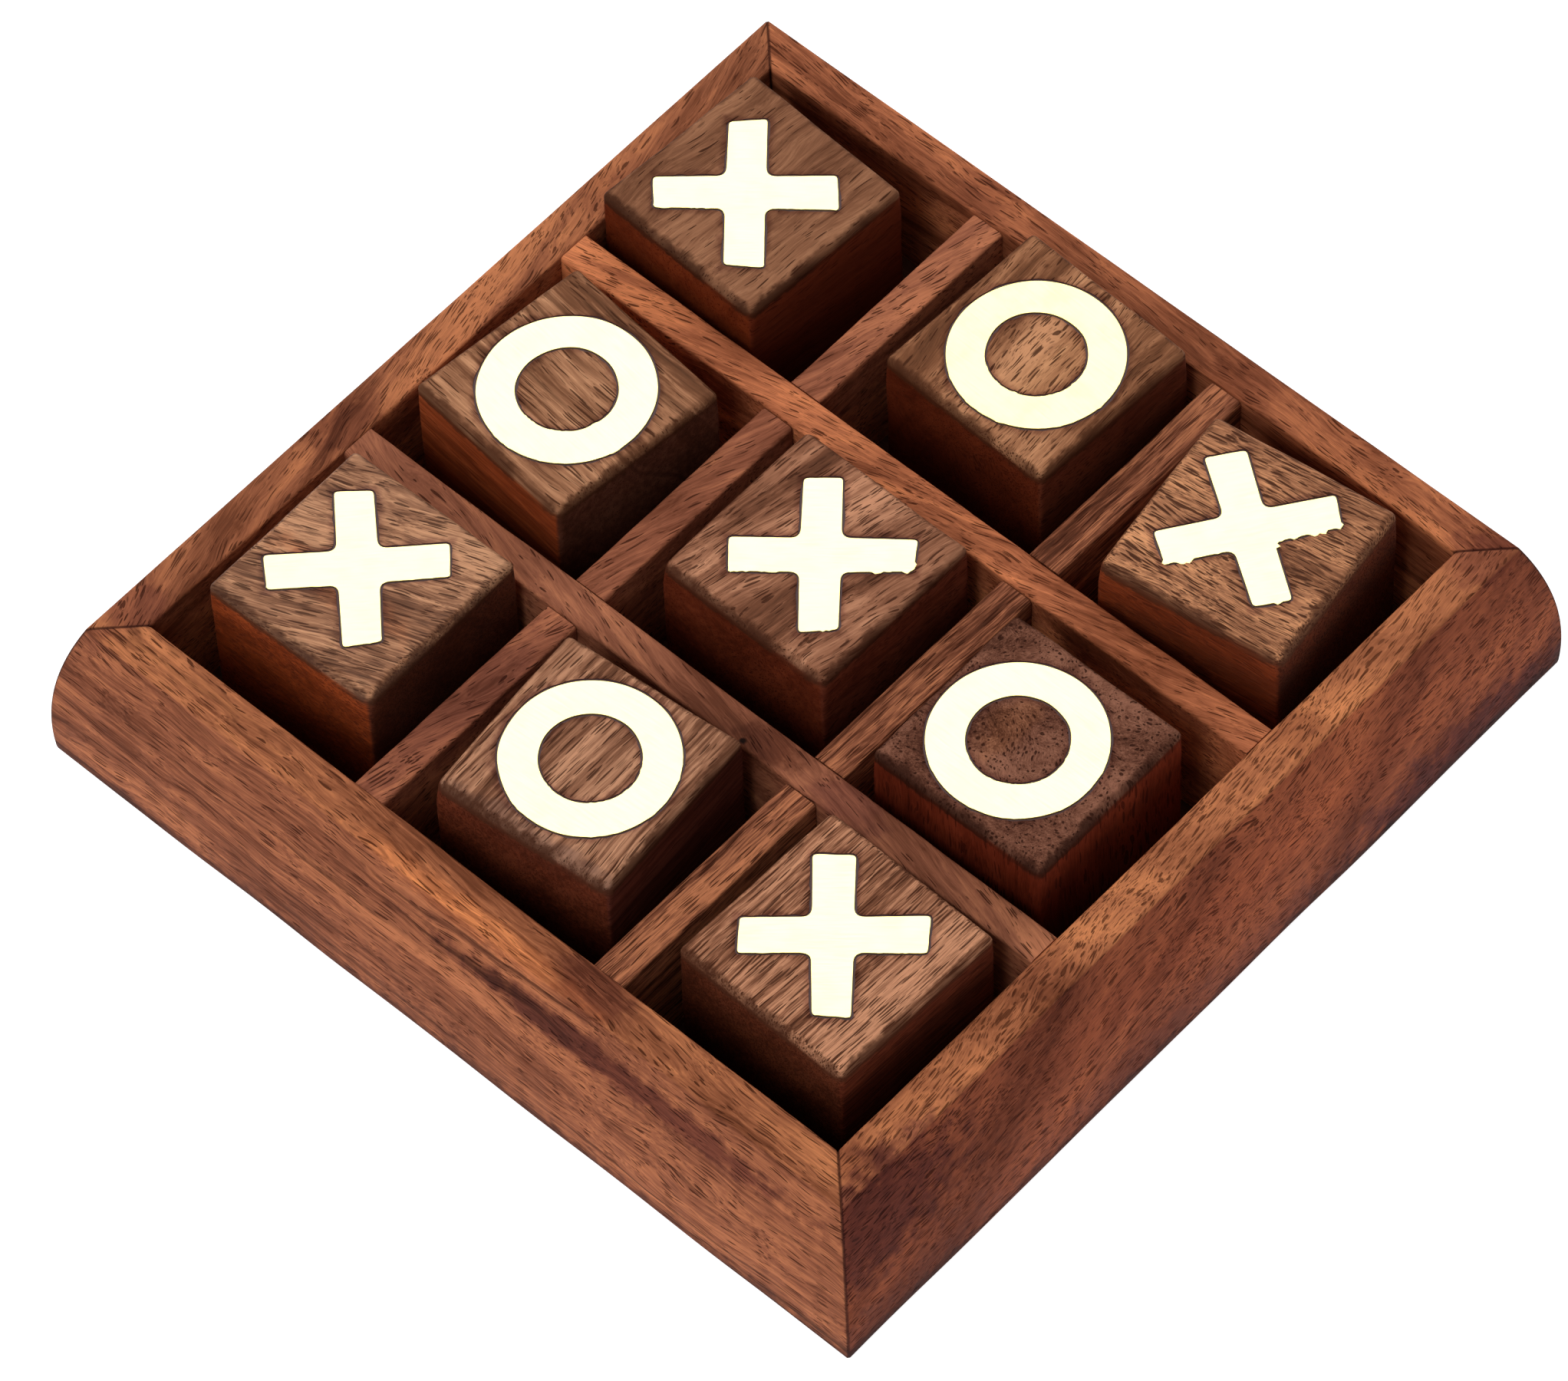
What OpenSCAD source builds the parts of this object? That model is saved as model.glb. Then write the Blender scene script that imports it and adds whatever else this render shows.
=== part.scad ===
/* [Tray] */
// Width of the square tray across its widest point
tray_w = 127; // [123:1:140]
// Height of the tray
tray_h = 25.4; // [23:0.2:30]
// Width of the flat on top of each rail
rail_top_w = 5.3; // [4:0.1:6]
// How far each rail's outer side swells past its top edge
rail_swell = 4.2; // [2:0.1:4.5]
// Height of the widest point of the rails above the table
swell_z = 4.8; // [3:0.1:8]
// Radius of the rails' lower outside edge
foot_r = 1.2; // [0.6:0.1:2]

/* [Dividers] */
// Thickness of the divider strips
divider_t = 4.8; // [3:0.1:5]
// How far the tops of the cross dividers lie below the rim
cross_drop = 0.3; // [0:0.1:1]

/* [Base] */
// Thickness of the base panel
base_t = 4; // [3:0.5:5]
// How far the base panel lies above the table
base_lift = 2; // [1:0.5:3]
// Width of the rebate that holds the base panel
rebate_w = 3.6; // [3:0.1:4]
// Diameter of the pins that hold the base panel
pin_d = 1.2; // [0.8:0.1:1.4]
// Length of the pins
pin_l = 12; // [9:1:15]

/* [Blocks] */
// Side of the cube-shaped playing blocks
block_w = 25.4; // [22:0.2:26]
// Radius of the blocks' rounded edges
block_edge_r = 1.1; // [0.5:0.1:2]
// Depth of the brass inlays
inlay_t = 2; // [1:0.5:4]
// Width of a cross's arms
arm_w = 4.8; // [3:0.1:6]
// Length of a cross's arms from its middle
arm_l = 10.9; // [9:0.1:11.5]
// Outer diameter of the rings
ring_d = 21.4; // [18:0.2:21.6]
// Inner diameter of the rings
ring_hole_d = 12.2; // [10:0.2:15]

/* [Hidden] */

$fn = 96;

// Overrun of every cutting shape past the surface it cuts
over = 1;

// Tray: distances from its middle to the faces of a rail
outer = tray_w / 2;
rim_outer = outer - rail_swell;
inner = rim_outer - rail_top_w;

// The outer side is one arc with its widest point at swell_z and its end at the rim
rise = tray_h - swell_z;
swell_r = (rise * rise + rail_swell * rail_swell) / (2 * rail_swell);
swell_x = outer - swell_r;

// The foot's small arc touches the big arc and the underside
foot_drop = swell_z - foot_r;
foot_x = swell_x + sqrt(pow(swell_r - foot_r, 2) - foot_drop * foot_drop);
foot_join_z = swell_z - foot_drop * swell_r / (swell_r - foot_r);

// Grid of three by three cells
cell = (2 * inner - 2 * divider_t) / 3;
pitch = cell + divider_t;
divider_at = pitch / 2;

// Base panel and its rebate
base_top = base_lift + base_t;
panel_play = 0.2;
panel_half = inner + rebate_w - panel_play;

// The dividers are halved into each other at this height
halving_z = (base_top + tray_h) / 2;
cross_top = tray_h - cross_drop;

// Pins: two to a rail, driven up through the panel into the rail
pin_row = inner + rebate_w / 2;
pin_at = inner * 0.6;
pin_head_d = pin_d * 1.8;
pin_head_t = 0.5;

// Rounding in the inner corners of a cross
arm_fillet_r = 0.9;

// The blocks as they lie in the tray, one row for each:
// column, row, slide along X and Y as a share of the free play, turn in degrees,
// then the mark's own offset along the block's X and Y in mm, and its own turn in degrees
cross_places = [
    [0, 0, 0.1, 0.7, 1, -1, 0.5, 0],
    [0, 2, -0.85, -0.7, -3.5, -0.5, -0.5, -1],
    [1, 1, 0.2, 0.4, -0.5, 0.5, 0.5, -4],
    [2, 0, 0.15, 0.35, -1.5, -1, 0.5, -2.5],
    [2, 2, -0.25, -0.55, 7.5, -0.5, 1, 2.5]
];
ring_places = [
    [1, 0, 0.1, 0.25, 5, 0, 0.5, 0],
    [0, 1, 0.2, -0.05, -6, 0, 0, 0],
    [1, 2, 0.4, 0.75, -2.5, 0, 0, 0],
    [2, 1, -0.3, -0.5, 0.5, -1, -0.5, 0]
];

// Half the width that a turned block takes along X or Y
function reach(turn) = block_w / 2 * (cos(turn) + abs(sin(turn)));

// Free play of a turned block to each side of its cell's middle
function play(turn) = cell / 2 - reach(turn);

// Middle of a block's underside for one row of the lists above
function block_spot(p) = [
    (p[0] - 1) * pitch + p[2] * play(p[4]),
    (p[1] - 1) * pitch + p[3] * play(p[4]),
    base_top
];

// ---- Tray ----

module rail_section() {
    difference() {
        intersection() {
            translate([inner, 0]) square([outer - inner, tray_h]);
            translate([swell_x, swell_z]) circle(r = swell_r, $fn = 180);
        }
        translate([inner - over, -over]) square([rebate_w + over, base_top + over]);
        difference() {
            translate([foot_x, -over]) square([rail_swell + foot_r + over, foot_join_z + over]);
            translate([foot_x, foot_r]) circle(r = foot_r);
        }
    }
}

// One rail at the end of the +X axis, mitred at both ends, turned to its side of the tray
module rail(side) {
    rotate([0, 0, side * 90])
    difference() {
        intersection() {
            rotate([90, 0, 0])
            translate([0, 0, -outer]) linear_extrude(2 * outer) rail_section();
            linear_extrude(tray_h) polygon([[0, 0], [outer, -outer], [outer, outer]]);
        }
        for (y = [-pin_at, pin_at])
            translate([pin_row, y, base_top - over]) cylinder(d = pin_d, h = pin_l - base_t + over);
    }
}

module long_divider(y) {
    color([0.36, 0.25, 0.19])
    difference() {
        translate([-inner, y - divider_t / 2, base_top])
            cube([2 * inner, divider_t, tray_h - base_top]);
        for (x = [-divider_at, divider_at])
            translate([x - divider_t / 2, y - divider_t, base_top - over])
                cube([divider_t, 2 * divider_t, halving_z - base_top + over]);
    }
}

module cross_divider(x) {
    color([0.42, 0.26, 0.17])
    difference() {
        translate([x - divider_t / 2, -inner, base_top])
            cube([divider_t, 2 * inner, cross_top - base_top]);
        for (y = [-divider_at, divider_at])
            translate([x - divider_t, y - divider_t / 2, halving_z])
                cube([2 * divider_t, divider_t, tray_h]);
    }
}

// Repeats its children at every pin, at the height of the pins' heads
module at_pins() {
    for (side = [0 : 3])
        for (y = [-pin_at, pin_at])
            rotate([0, 0, side * 90]) translate([pin_row, y, base_lift]) children();
}

module pin_shape() {
    cylinder(d = pin_d, h = pin_l);
    cylinder(d = pin_head_d, h = pin_head_t);
}

module base_panel() {
    color([0.55, 0.42, 0.3])
    difference() {
        translate([-panel_half, -panel_half, base_lift])
            cube([2 * panel_half, 2 * panel_half, base_t]);
        at_pins() pin_shape();
    }
}

module base_pins() {
    color([0.6, 0.6, 0.58]) at_pins() pin_shape();
}

// ---- Blocks ----

module rounded_square(w, h, r) {
    translate([r - w / 2, 0]) square([w - 2 * r, h]);
    translate([-w / 2, r]) square([w, h - 2 * r]);
    for (x = [r - w / 2, w / 2 - r])
        for (y = [r, h - r])
            translate([x, y]) circle(r = r, $fn = 48);
}

// A cube whose twelve edges are all rounded, standing on its middle
module rounded_block() {
    intersection() {
        translate([0, -block_w / 2, 0])
            linear_extrude(block_w) rounded_square(block_w, block_w, block_edge_r);
        rotate([90, 0, 0]) translate([0, 0, -block_w / 2])
            linear_extrude(block_w) rounded_square(block_w, block_w, block_edge_r);
        rotate([90, 0, 90]) translate([0, 0, -block_w / 2])
            linear_extrude(block_w) rounded_square(block_w, block_w, block_edge_r);
    }
}

module cross_outline() {
    corner = arm_w / 2;
    rotate(45) {
        square([2 * arm_l, arm_w], center = true);
        square([arm_w, 2 * arm_l], center = true);
        for (quarter = [0 : 3])
            rotate(quarter * 90)
            translate([corner, corner])
            difference() {
                translate([-corner / 2, -corner / 2])
                    square(corner / 2 + arm_fillet_r);
                translate([arm_fillet_r, arm_fillet_r]) circle(r = arm_fillet_r, $fn = 32);
            }
    }
}

module ring_outline() {
    difference() {
        circle(d = ring_d);
        circle(d = ring_hole_d);
    }
}

// Sets its children on a block's top, where its mark lies
module at_mark(p) {
    translate([p[5], p[6], block_w - inlay_t]) rotate([0, 0, p[7]]) children();
}

// Sets its children in the tray, where a block lies
module at_block(p) {
    translate(block_spot(p)) rotate([0, 0, p[4]]) children();
}

module cross_inlay(i) {
    p = cross_places[i - 1];
    color([0.93, 0.85, 0.55])
    at_block(p) at_mark(p) linear_extrude(inlay_t) cross_outline();
}

module ring_inlay(i) {
    p = ring_places[i - 1];
    color([0.93, 0.85, 0.55])
    at_block(p) at_mark(p) linear_extrude(inlay_t) ring_outline();
}

module cross_block(i) {
    p = cross_places[i - 1];
    color([0.35, 0.22, 0.17])
    at_block(p)
    difference() {
        rounded_block();
        at_mark(p) linear_extrude(inlay_t + over) cross_outline();
    }
}

module ring_block(i) {
    p = ring_places[i - 1];
    color([0.33, 0.2, 0.17])
    at_block(p)
    difference() {
        rounded_block();
        at_mark(p) linear_extrude(inlay_t + over) ring_outline();
    }
}

module front_rail() { color([0.45, 0.24, 0.15]) rail(3); }
module right_rail() { color([0.4, 0.21, 0.15]) rail(0); }
module back_rail() { color([0.45, 0.24, 0.15]) rail(1); }
module left_rail() { color([0.43, 0.23, 0.15]) rail(2); }

front_rail();
right_rail();
back_rail();
left_rail();
long_divider(-divider_at);  // long_divider_front
long_divider(divider_at);  // long_divider_back
cross_divider(-divider_at);  // cross_divider_left
cross_divider(divider_at);  // cross_divider_right
base_panel();
base_pins();
cross_block(1);  // cross_block_1
cross_block(2);  // cross_block_2
cross_block(3);  // cross_block_3
cross_block(4);  // cross_block_4
cross_block(5);  // cross_block_5
ring_block(1);  // ring_block_1
ring_block(2);  // ring_block_2
ring_block(3);  // ring_block_3
ring_block(4);  // ring_block_4
cross_inlay(1);  // cross_inlay_1
cross_inlay(2);  // cross_inlay_2
cross_inlay(3);  // cross_inlay_3
cross_inlay(4);  // cross_inlay_4
cross_inlay(5);  // cross_inlay_5
ring_inlay(1);  // ring_inlay_1
ring_inlay(2);  // ring_inlay_2
ring_inlay(3);  // ring_inlay_3
ring_inlay(4);  // ring_inlay_4
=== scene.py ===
import math
import random

import bmesh
import bpy
from mathutils import Euler, Matrix, Vector, noise


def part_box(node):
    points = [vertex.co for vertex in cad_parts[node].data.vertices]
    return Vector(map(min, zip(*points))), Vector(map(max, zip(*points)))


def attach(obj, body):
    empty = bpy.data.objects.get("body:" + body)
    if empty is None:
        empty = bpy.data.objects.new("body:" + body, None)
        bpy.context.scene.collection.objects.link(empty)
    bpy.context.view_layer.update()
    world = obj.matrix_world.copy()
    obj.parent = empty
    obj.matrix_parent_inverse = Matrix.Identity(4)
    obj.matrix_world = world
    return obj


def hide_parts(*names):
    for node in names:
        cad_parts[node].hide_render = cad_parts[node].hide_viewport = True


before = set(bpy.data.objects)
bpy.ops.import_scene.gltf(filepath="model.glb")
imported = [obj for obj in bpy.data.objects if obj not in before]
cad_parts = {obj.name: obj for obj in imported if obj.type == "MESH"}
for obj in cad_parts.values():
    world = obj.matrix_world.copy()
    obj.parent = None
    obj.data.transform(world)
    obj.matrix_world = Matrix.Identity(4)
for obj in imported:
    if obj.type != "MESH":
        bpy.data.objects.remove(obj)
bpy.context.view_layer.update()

# Lengths below are in millimetres, and meshes are scaled to metres when they are made.
MM = 0.001


# ---- Sizes taken from the frame ----

def node_box(name):
    """Lowest and highest corner of a CAD node, in millimetres."""
    low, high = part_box(name)
    return low / MM, high / MM


def node_points(name):
    """Every corner of a CAD node's mesh, in millimetres."""
    return [v.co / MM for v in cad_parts[name].data.vertices]


# Points closer to each other than this count as level.
NEAR = 0.02
# Tray: its reach from the middle, the height of its rim, and the outer and inner edge of a rail's flat top.
OUTER = node_box("right_rail")[1].x
TOP = node_box("right_rail")[1].z
RIM = max(p.x for p in node_points("right_rail") if p.z > TOP - NEAR)
INNER = node_box("long_divider_front")[1].x
# Middle of a rail's flat top.
MID = (RIM + INNER) / 2
# Dividers: top of the cross ones, distance of each from the tray's middle, and half their thickness.
CROSS_TOP = node_box("cross_divider_left")[1].z
DIVIDER_LOW, DIVIDER_HIGH = node_box("long_divider_back")
DIVIDER_AT = (DIVIDER_LOW.y + DIVIDER_HIGH.y) / 2
DIVIDER_HALF = (DIVIDER_HIGH.y - DIVIDER_LOW.y) / 2
# Base panel: the cell floor that it makes, its play in the rebate, and the rebate's reach.
CELL_FLOOR = node_box("base_panel")[1].z
PANEL_PLAY = 0.2
REBATE = node_box("base_panel")[1].x + PANEL_PLAY
# Height at which the halves of two crossing dividers meet.
HALVING = (CELL_FLOOR + TOP) / 2
# Height of a rail's widest point, and radius of the rounded edges of a block in CAD.
SWELL_Z = 4.8
BLOCK_EDGE = 1.1

# Each block and the inlay in its top.
BLOCKS = {f"cross_block_{i}": f"cross_inlay_{i}" for i in range(1, 6)}
BLOCKS.update({f"ring_block_{i}": f"ring_inlay_{i}" for i in range(1, 5)})


def block_place(name):
    """Middle of a block's underside, its side, its height and its turn about Z, read from its CAD mesh."""
    low, high = node_box(name)
    centre = (low + high) / 2
    under = [p - centre for p in node_points(name) if p.z < low.z + NEAR]
    corner = max(under, key=lambda p: p.x + p.y)
    turn = math.atan2(corner.y, corner.x) - math.pi / 4
    reach = math.cos(turn) + abs(math.sin(turn))
    side = 2 * ((high.x - centre.x - BLOCK_EDGE) / reach + BLOCK_EDGE)
    return Vector((centre.x, centre.y, low.z)), side, high.z - low.z, turn


# ---- Meshes ----

def as_object(name, bm):
    """Turns a bmesh in millimetres into an object that still is in millimetres."""
    mesh = bpy.data.meshes.new(name)
    for f in bm.faces:
        f.smooth = True
    bm.to_mesh(mesh)
    bm.free()
    made = bpy.data.objects.new(name, mesh)
    bpy.context.scene.collection.objects.link(made)
    return made


def loft(bm, rings, closed=False, caps=True):
    """Joins rings of points, each a closed outline, with quads; closed joins the last ring to the first."""
    rows = [[bm.verts.new(p) for p in ring] for ring in rings]
    pairs = list(zip(rows, rows[1:]))
    if closed:
        pairs.append((rows[-1], rows[0]))
    for a, b in pairs:
        for i in range(len(a)):
            j = (i + 1) % len(a)
            bm.faces.new((a[i], a[j], b[j], b[i]))
    if caps and not closed:
        bm.faces.new(list(reversed(rows[0])))
        bm.faces.new(rows[-1])
    return rows


def tidy(bm):
    """Merges doubled points, drops faces with no area and makes every face look outwards."""
    bmesh.ops.remove_doubles(bm, verts=bm.verts, dist=0.0005)
    bmesh.ops.dissolve_degenerate(bm, edges=bm.edges, dist=0.0005)
    bmesh.ops.recalc_face_normals(bm, faces=bm.faces)


def set_piece(made, body, nodes, place, wood_axes, materials, sharp=35, middle=(0, 0, 0)):
    """Finishes a piece made in its own millimetres: notes each point's place in the piece and in the wood,
    sets the piece in the frame, says which body it rides on, hides the CAD nodes it stands for and fills the
    slots it takes its finish from."""
    mesh = made.data
    spot = mesh.attributes.new("spot", "FLOAT_VECTOR", "POINT")
    grain = mesh.attributes.new("grain", "FLOAT_VECTOR", "POINT")
    for i, v in enumerate(mesh.vertices):
        spot.data[i].vector = v.co - Vector(middle)
        grain.data[i].vector = wood_axes @ v.co
    mesh.transform(Matrix.Scale(MM, 4) @ place)
    mesh.materials.clear()
    for m in materials:
        mesh.materials.append(m)
    mesh.set_sharp_from_angle(angle=math.radians(sharp))
    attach(made, body)
    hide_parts(*nodes)
    return made


def wood_space(along, tilt=(0, 0, 0), offset=(0, 0, 0)):
    """Matrix from a piece's own millimetres to wood space, whose X runs along the grain. along is the grain's
    direction in the piece, tilt turns it further in degrees, and offset picks the cut from the tree."""
    turn = Vector(along).to_track_quat("X", "Z").to_matrix().to_4x4().inverted()
    further = Euler([math.radians(a) for a in tilt]).to_matrix().to_4x4()
    return Matrix.Translation(offset) @ further @ turn


# ---- Materials ----

class Nodes:
    """Short calls for building a material's node tree."""

    def __init__(self, name):
        self.material = bpy.data.materials.new(name)
        self.material.use_nodes = True
        self.tree = self.material.node_tree
        self.tree.nodes.clear()

    def add(self, kind, inputs=None, **settings):
        """A shader node of a kind, with its settings, and with values or other nodes' sockets fed in."""
        made = self.tree.nodes.new("ShaderNode" + kind)
        for key, value in settings.items():
            setattr(made, key, value)
        for key, value in (inputs or {}).items():
            self.feed(made.inputs[key], value)
        return made

    def feed(self, socket, value):
        """Links another socket to this one, or sets it to a fixed value."""
        if isinstance(value, bpy.types.NodeSocket):
            self.tree.links.new(value, socket)
        else:
            socket.default_value = value

    def math(self, operation, a, b=0.0, c=0.0):
        made = self.add("Math", operation=operation)
        for socket, value in zip(made.inputs, (a, b, c)):
            self.feed(socket, value)
        return made.outputs[0]

    def vector(self, operation, a, b=(0, 0, 0)):
        made = self.add("VectorMath", operation=operation)
        self.feed(made.inputs[0], a)
        self.feed(made.inputs[1], b)
        return made.outputs["Value"] if operation in ("LENGTH", "DISTANCE") else made.outputs["Vector"]

    def noise(self, vector, scale=1.0, detail=2.0, roughness=0.5, distortion=0.0):
        """Noise, as a number and as a colour."""
        made = self.add("TexNoise", {"Vector": vector, "Scale": scale, "Detail": detail,
                                     "Roughness": roughness, "Distortion": distortion})
        return made.outputs["Fac"], made.outputs["Color"]

    def step(self, value, low, high, out_low=0.0, out_high=1.0):
        """Smooth step from out_low, where value is low, to out_high, where it is high."""
        ends = {"From Min": low, "From Max": high, "To Min": out_low, "To Max": out_high}
        made = self.add("MapRange", {"Value": value, **ends}, interpolation_type="SMOOTHSTEP")
        return made.outputs["Result"]

    def mix(self, factor, a, b, blend="MIX"):
        made = self.add("Mix", data_type="RGBA", blend_type=blend)
        self.feed(made.inputs[0], factor)
        self.feed(made.inputs[6], a)
        self.feed(made.inputs[7], b)
        return made.outputs[2]

    def ramp(self, value, stops):
        """Colour ramp through stops of (place, colour)."""
        made = self.add("ValToRGB", {"Fac": value})
        ramp = made.color_ramp
        ramp.interpolation = "LINEAR"
        while len(ramp.elements) < len(stops):
            ramp.elements.new(0.5)
        for element, (place, colour) in zip(ramp.elements, stops):
            element.position = place
            element.color = colour
        return made.outputs["Color"]

    def finish(self, shader):
        """Puts the shader on the surface and gives the finished material."""
        out = self.add("OutputMaterial")
        self.tree.links.new(shader.outputs[0], out.inputs["Surface"])
        return self.material


def rgb(red, green, blue):
    """Linear colour from the 0 to 255 values a screen shows."""
    def linear(v):
        v /= 255
        return v / 12.92 if v <= 0.04045 else ((v + 0.055) / 1.055) ** 2.4
    return linear(red), linear(green), linear(blue), 1.0


def shades(colour, light):
    """Ramp of a wood's colours round its middle one, from its darkest to its lightest."""
    dark = (0.52, 0.46, 0.43)

    def times(share):
        return tuple(min(1.0, c * s) for c, s in zip(colour, share)) + (1.0,)
    darkest = tuple(d * 0.5 for d in dark)
    lightest = tuple(v * 1.25 for v in light)
    stops = [(0.0, times(darkest)), (0.27, times(dark)), (0.5, colour)]
    return stops + [(0.73, times(light)), (1.0, times(lightest))]


# How a piece of wood looks, unless it says otherwise. Lengths are in millimetres.
WOOD = {
    "band": 3.0,          # width of a growth layer
    "run_out": 0.0,       # how fast the layers leave the surface along the grain
    "wander": 1.2,        # how far the grain lines stray
    "pith": (-30, -55),   # where the tree's middle is, across the grain
    "bands": 1.1,         # how much the layers, streaks, fibres and slow changes show
    "streaks": 0.65,
    "fibres": 0.5,
    "drift": 1.3,
    "streak_width": 1.0,  # width of a streak, along with its spacing
    "veins": 0.0,         # how dark the thin dark veins are
    "pore_long": 4.6,     # length and spacing of the open vessels
    "pore_gap": 0.25,
    "pore_share": 0.55,   # how many of them are open, and how dark they are
    "pores": 0.85,
    "ticks": 0.5,         # how dark the finest short dashes are
    "light": (1.6, 1.7, 1.55),  # the light tones, as a multiple of the middle colour
    "rough": 0.65,
    "shine": 0.04,
    "relief": 0.12,       # depth of the open grain
    "knots": (),          # centre in the piece, radius and strength of each swirl of the grain
    "stains": (),         # centre and size in the piece, tint and strength of each patch; among them are painted shadow and a painted highlight
    "outside": None,      # for a rail: the tint of its outer side, painted shade that makes it darker than its top
    "top": None,          # for a block: half its side and height, and the tints of its sides and worn edges, partly painted shade
    "mark": None,         # for a block: its inlay's middle, turn, reach, half width and whether it is a cross
}


def stray(n, grain, wander):
    """The grain coordinates, bent a little so that grain lines wander, and the slow noise behind that."""
    slow, slow_vector = n.noise(n.vector("MULTIPLY", grain, (0.035, 0.11, 0.11)), detail=3.0)
    quick = n.noise(n.vector("MULTIPLY", grain, (0.08, 0.25, 0.25)), detail=1.0)[1]
    for vector, reach in ((slow_vector, wander * 5), (quick, wander)):
        bend = n.vector("MULTIPLY", n.vector("SUBTRACT", vector, (0.5, 0.5, 0.5)), (0.0, reach, reach))
        grain = n.vector("ADD", grain, bend)
    return grain, slow


def swirl(n, grain, centre, radius, strength):
    """Pushes the grain lines apart round a knot."""
    away = n.vector("SUBTRACT", grain, centre)
    spread = n.vector("LENGTH", n.vector("MULTIPLY", away, (0.55 / radius, 1 / radius, 1 / radius)))
    near = n.math("EXPONENT", n.math("MULTIPLY", n.math("MULTIPLY", spread, spread), -1.0))
    push = n.add("VectorMath", {0: n.vector("MULTIPLY", away, (0.0, strength, strength)), 3: near},
                 operation="SCALE").outputs["Vector"]
    return n.vector("SUBTRACT", grain, push)


def growth(n, lines, look):
    """Growth layers: the noise of the distance to the tree's middle, and thin veins along it."""
    apart = n.add("SeparateXYZ", {0: lines}).outputs
    across = n.add("CombineXYZ", {0: 0.0, 1: apart[1], 2: apart[2]}).outputs[0]
    from_pith = n.vector("LENGTH", n.vector("SUBTRACT", across, (0.0, look["pith"][0], look["pith"][1])))
    layer = n.math("DIVIDE", n.math("MULTIPLY_ADD", apart[0], look["run_out"], from_pith), look["band"])
    where = n.add("CombineXYZ", {0: n.math("MULTIPLY", apart[0], 0.008), 1: layer}).outputs[0]
    layers = n.noise(where, detail=5.0, roughness=0.66)[0]
    veins = None
    if look["veins"]:
        along = n.math("MULTIPLY", apart[0], 0.012)
        second = n.add("CombineXYZ", {0: along, 1: n.math("MULTIPLY", layer, 1.7), 2: 7.0}).outputs[0]
        veins = n.step(n.noise(second, detail=3.0, roughness=0.6)[0], 0.54, 0.68)
    return layers, veins


def open_pores(n, lines, slow, look, finer=1.0):
    """Long thin vessels cut open by the surface, thicker in some places than in others."""
    across = finer / look["pore_gap"]
    stretch = (finer / look["pore_long"], across, across)
    where = n.vector("MULTIPLY", lines, stretch)
    cells = n.add("TexVoronoi", {"Vector": where, "Scale": 1.0, "Randomness": 1.0}, voronoi_dimensions="3D")
    chosen = n.add("SeparateColor", {0: cells.outputs["Color"]}).outputs[0]
    chosen = n.math("MULTIPLY_ADD", n.math("SUBTRACT", slow, 0.5), 1.2, chosen)
    width = n.step(chosen, 0.9 - look["pore_share"], 1.3 - look["pore_share"], 0.0, 0.4)
    return n.step(n.math("SUBTRACT", width, cells.outputs["Distance"]), 0.0, 0.07)


def stained_and_shaded(n, spot, colour, stain, wobble):
    """Darkens or lightens one patch with a soft uneven edge; it paints stains and also painted shadow and
    painted highlight. tint is what its colour is multiplied by.
    """
    centre, size, tint, strength = stain
    scale = tuple(1 / s for s in size)
    away = n.vector("LENGTH", n.vector("MULTIPLY", n.vector("SUBTRACT", spot, centre), scale))
    away = n.math("MULTIPLY_ADD", n.math("SUBTRACT", wobble, 0.5), 1.4, away)
    return n.mix(n.step(away, 1.15, 0.45, 0.0, strength), colour, tint + (1.0,), blend="MULTIPLY")


def rail_marks(n, spot, colour, side_shade_tint):
    """A rail's outer side is painted darker than its top, as painted shade, and dark glue shows in its
    mitres.
    """
    glue = rgb(52, 22, 18)
    parts = n.add("SeparateXYZ", {0: spot}).outputs
    outside = n.step(parts[0], MID, MID + 1)
    below = n.step(parts[2], TOP - 0.5, TOP - 0.1, 1.0, 0.0)
    # Painted shade: the outer side below the arris is multiplied by the side tint.
    shaded_side = n.mix(1.0, colour, side_shade_tint + (1.0,), blend="MULTIPLY")
    colour = n.mix(n.math("MULTIPLY", outside, below), colour, shaded_side)
    from_mitre = n.math("SUBTRACT", parts[0], n.math("ABSOLUTE", parts[1]))
    return n.mix(n.step(from_mitre, 0.1, 0.4, 0.75, 0.0), colour, glue)


def beside_mark(n, spot, mark):
    """How far outside the inlay a point of a block's top lies."""
    centre, turn, reach, half_width, is_cross = mark
    turned = n.add("VectorRotate", {"Vector": n.vector("SUBTRACT", spot, centre), "Angle": -turn},
                   rotation_type="Z_AXIS").outputs[0]
    if is_cross:
        parts = n.add("SeparateXYZ", {0: n.vector("ABSOLUTE", turned)}).outputs
        bars = []
        for along, across in ((0, 1), (1, 0)):
            past_end = n.math("SUBTRACT", parts[along], reach)
            bars.append(n.math("MAXIMUM", past_end, n.math("SUBTRACT", parts[across], half_width)))
        return n.math("MINIMUM", *bars)
    from_middle = n.vector("LENGTH", n.vector("MULTIPLY", turned, (1, 1, 0)))
    from_line = n.math("ABSOLUTE", n.math("SUBTRACT", from_middle, reach - half_width))
    return n.math("SUBTRACT", from_line, half_width)


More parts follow.
